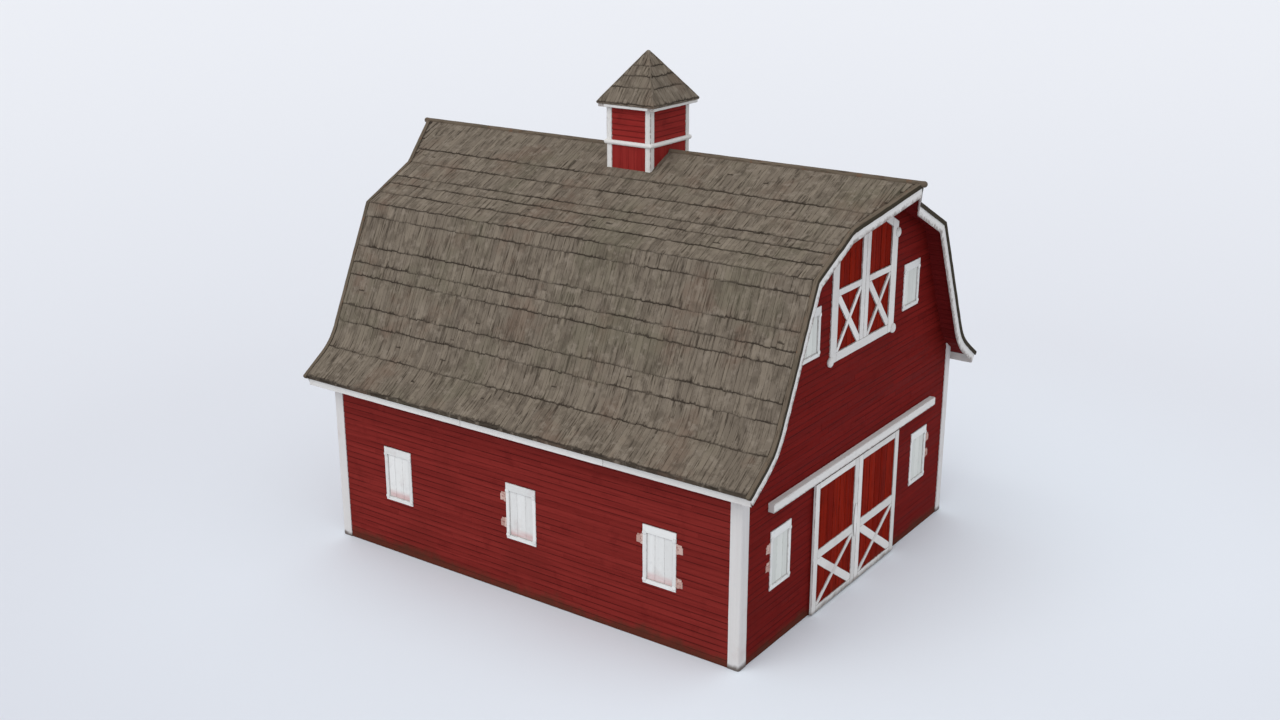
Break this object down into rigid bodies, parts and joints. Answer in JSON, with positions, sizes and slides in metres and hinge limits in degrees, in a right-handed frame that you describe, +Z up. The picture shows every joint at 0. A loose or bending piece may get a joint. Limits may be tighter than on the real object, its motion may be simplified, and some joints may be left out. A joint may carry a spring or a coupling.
{
  "type": "barn",
  "caption": "Timber barn with a gambrel roof, flared eaves, hay hoods over both gables, sliding front doors on a covered track, closed shutters, fixed hay doors and a square ridge cupola.",
  "frame": {"origin": "on the ground, in the middle of the plan", "axes": "+Z up, the ridge runs along Y, the gable with the sliding doors faces -Y"},
  "size_m": [11.16, 14.2796, 11.94],
  "materials": {
    "siding": "painted clapboards, worn satin",
    "cupola_siding": "painted boards, satin",
    "door_red": "painted vertical boards, satin",
    "trim": "white paint, lightly weathered",
    "shutter_white": "white paint, lightly weathered",
    "shutter_grey": "pale blue-grey paint",
    "old_paint": "old pale paint over metal",
    "shingles": "weathered grey-brown wood shingles",
    "roof_roll": "weathered brown wood",
    "soffit": "dark red painted boards",
    "timber": "bare timber",
    "floor_concrete": "plain concrete",
    "track_steel": "dark galvanised steel"
  },
  "bodies": {
    "barn": {"ground_floor": "floor_concrete", "left_wall": "siding", "right_wall": "siding", "front_wall_left": "siding", "front_wall_right": "siding", "front_gable": "siding", "back_wall": "siding", "back_gable": "siding", "loft_floor": "timber", "loft_joists": "timber", "loft_beams": "timber", "loft_posts": "timber", "roof_deck_left": "soffit", "roof_deck_right": "soffit", "upper_shingles_left": "shingles", "upper_shingles_right": "shingles", "lower_shingles_left": "shingles", "lower_shingles_right": "shingles", "rake_rolls_left": "roof_roll", "rake_rolls_right": "roof_roll", "ridge_roll": "roof_roll", "bargeboards_left": "trim", "bargeboards_right": "trim", "eave_fascia": "trim", "corner_boards": "trim", "side_shutter_panels": "shutter_white", "side_shutter_frames": "trim", "gable_shutter_panels": "shutter_grey", "gable_shutter_frames": "trim", "shutter_hinges": "old_paint", "hay_door_boards": "door_red", "hay_door_frames": "trim", "track_cover": "trim", "door_track": "track_steel", "cupola_walls": "cupola_siding", "cupola_corner_boards": "trim", "cupola_band": "trim", "cupola_fascia": "trim", "cupola_roof": "shingles"},
    "left_door": {"left_door_boards": "door_red", "left_door_frame": "trim", "left_door_hangers": "track_steel", "door_pull": "trim"},
    "right_door": {"right_door_boards": "door_red", "right_door_frame": "trim", "right_door_hangers": "track_steel"}
  },
  "joints": [
    {"name": "left_door_slide", "type": "slide", "parent": "barn", "child": "left_door", "axis": [-1, 0, 0], "range_m": [0, 1.94]},
    {"name": "right_door_slide", "type": "slide", "parent": "barn", "child": "right_door", "axis": [1, 0, 0], "range_m": [0, 1.94]}
  ]
}
